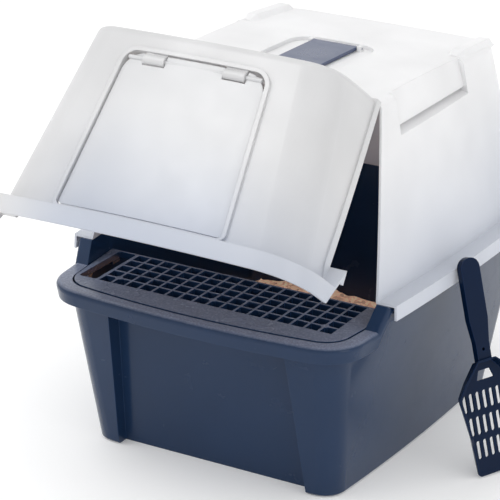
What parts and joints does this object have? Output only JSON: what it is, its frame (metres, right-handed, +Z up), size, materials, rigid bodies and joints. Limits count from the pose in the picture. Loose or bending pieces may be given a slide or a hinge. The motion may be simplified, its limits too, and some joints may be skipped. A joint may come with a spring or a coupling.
{
  "type": "hooded cat litter box",
  "caption": "Deep litter pan with a two-piece hood, a front half that hinges open over a drop-in grate, a swinging entry door, a roof latch and a slotted scoop.",
  "frame": {"origin": "middle of the pan's underside, on the floor", "axes": "+X to the object's left as it looks forward (the picture's right), -Y towards the entry, +Z up"},
  "size_m": [0.5067, 0.6365, 0.4962],
  "materials": {
    "pan_plastic": "satin moulded, dark navy",
    "grate_plastic": "satin moulded, dark navy",
    "litter": "loose clay granules, tan",
    "hood_plastic": "satin moulded, warm white",
    "door_plastic": "satin moulded, slightly milky white",
    "latch_plastic": "satin moulded, dark navy",
    "scoop_plastic": "glossy moulded, dark navy"
  },
  "bodies": {
    "pan": {"base_pan": "pan_plastic", "litter_bed": "litter"},
    "grate": {"litter_grate": "grate_plastic"},
    "hood": {"rear_hood": "hood_plastic", "hood_hinge_pins": "hood_plastic", "latch_pin": "latch_plastic"},
    "front": {"front_hood": "hood_plastic"},
    "door": {"entry_door": "door_plastic"},
    "latch": {"top_latch": "latch_plastic"},
    "scoop": {"scoop": "scoop_plastic"}
  },
  "joints": [
    {"name": "hood_lift_off", "type": "slide", "parent": "pan", "child": "hood", "axis": [0, 0, 1], "range_m": [0, 0.06]},
    {"name": "front_hood_hinge", "type": "hinge", "parent": "hood", "child": "front", "pos_m": [0, -0.088, 0.42953], "axis": [-1, 0, 0], "range_deg": [-38, 62]},
    {"name": "entry_door_swing", "type": "hinge", "parent": "front", "child": "door", "pos_m": [0, -0.22392, 0.47338], "axis": [1, 0, 0], "range_deg": [-75, 75]},
    {"name": "latch_hinge", "type": "hinge", "parent": "hood", "child": "latch", "pos_m": [0, 0.08605, 0.41914], "axis": [-1, 0, 0], "range_deg": [0, 80]},
    {"name": "grate_lift_out", "type": "slide", "parent": "pan", "child": "grate", "axis": [0, 0, 1], "range_m": [0, 0.012]},
    {"name": "scoop_pick_up", "type": "slide", "parent": "pan", "child": "scoop", "axis": [0, 0, 1], "range_m": [0, 0.08]}
  ]
}
